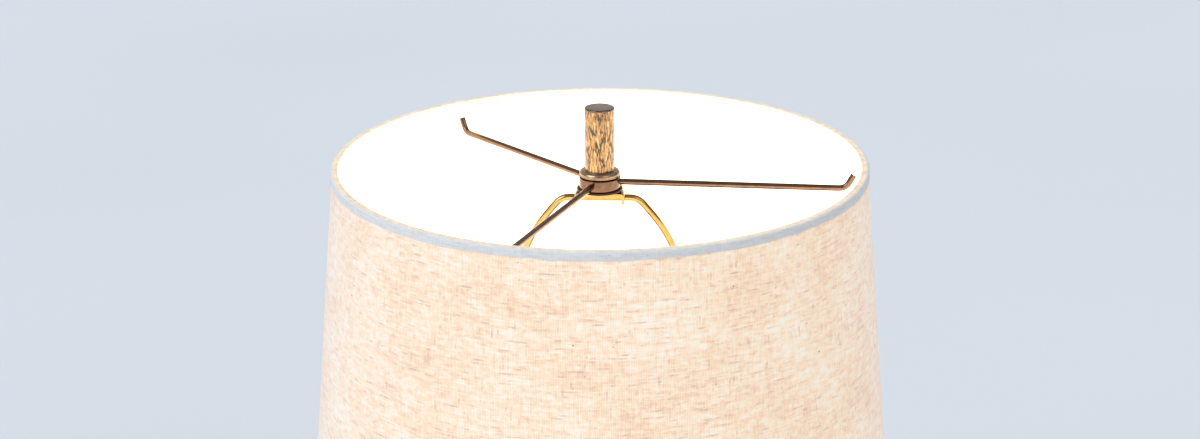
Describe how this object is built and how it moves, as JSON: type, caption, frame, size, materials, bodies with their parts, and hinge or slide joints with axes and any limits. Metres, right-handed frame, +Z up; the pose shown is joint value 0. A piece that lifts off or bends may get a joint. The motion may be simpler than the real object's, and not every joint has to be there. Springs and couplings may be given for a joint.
{
  "type": "spiral table lamp",
  "caption": "Table lamp with an open spiral-cut metal column, wire harp, tapered linen drum shade and a matching finial.",
  "frame": {"origin": "centre of the felt pad's underside, on the table", "axes": "+Z up; -Y is the pictured front, and the cord inlet is on +Y"},
  "size_m": [0.4063, 0.4064, 0.691],
  "materials": {
    "felt": "dense dark brown wool felt",
    "bronzed_iron": "smooth casting, dark bronze lacquer",
    "black_nylon": "moulded, matt",
    "gold_leafed_steel": "gold and brown bark-like streaks",
    "dark_bronze": "dark bronze, satin",
    "antique_brass": "antique brown brass",
    "brass": "bright drawn or stamped brass",
    "zinc_steel": "zinc plated",
    "fibre": "vulcanised fibre",
    "phenolic": "moulded black phenolic",
    "frosted_glass": "inside frosted",
    "linen": "natural linen on stiff white lining",
    "trim_tape": "folded grey-blue linen tape",
    "ring_wire": "white lacquered steel wire"
  },
  "bodies": {
    "base": {"felt_pad": "felt", "foot": "bronzed_iron", "cord_bushing": "black_nylon", "spiral_body": "gold_leafed_steel", "stem_tube": "dark_bronze", "threaded_pipe": "zinc_steel", "pipe_nuts": "zinc_steel", "pipe_washers": "zinc_steel", "crown_plate": "dark_bronze", "neck_collar": "dark_bronze", "harp_saddle": "brass", "harp_wire": "brass", "harp_top_plate": "brass", "harp_stud": "brass", "socket_cap": "brass", "socket_shell": "brass", "socket_liner": "fibre", "insulator": "phenolic", "screw_shell": "brass", "centre_contact": "brass"},
    "ferrule_left": {"ferrule_left": "brass"},
    "ferrule_right": {"ferrule_right": "brass"},
    "switch": {"switch_shaft": "zinc_steel", "switch_knob": "phenolic"},
    "bulb": {"bulb_cap": "brass", "bulb_glass": "frosted_glass"},
    "shade": {"shade_panel": "linen", "top_ring": "ring_wire", "bottom_ring": "ring_wire", "top_trim": "trim_tape", "bottom_trim": "trim_tape", "spider_hub": "antique_brass", "spider_arms": "antique_brass"},
    "finial": {"finial_washer": "dark_bronze", "finial_flange": "dark_bronze", "finial_sleeve": "gold_leafed_steel", "finial_cap": "dark_bronze"}
  },
  "joints": [
    {"name": "ferrule_left_slide", "type": "slide", "parent": "base", "child": "ferrule_left", "axis": [0, 0, 1], "range_m": [0, 0.012]},
    {"name": "ferrule_right_slide", "type": "slide", "parent": "base", "child": "ferrule_right", "axis": [0, 0, 1], "range_m": [0, 0.012]},
    {"name": "switch_turn", "type": "hinge", "parent": "base", "child": "switch", "pos_m": [0, 0, 0.4144], "axis": [-0.0523, -0.9986, 0], "continuous": true},
    {"name": "bulb_turn", "type": "hinge", "parent": "base", "child": "bulb", "pos_m": [0, 0, 0.4219], "axis": [0, 0, 1], "continuous": true},
    {"name": "shade_turn", "type": "hinge", "parent": "base", "child": "shade", "pos_m": [0, 0, 0.6355], "axis": [0, 0, 1], "continuous": true},
    {"name": "finial_turn", "type": "hinge", "parent": "base", "child": "finial", "pos_m": [0, 0, 0.6442], "axis": [0, 0, 1], "continuous": true}
  ]
}
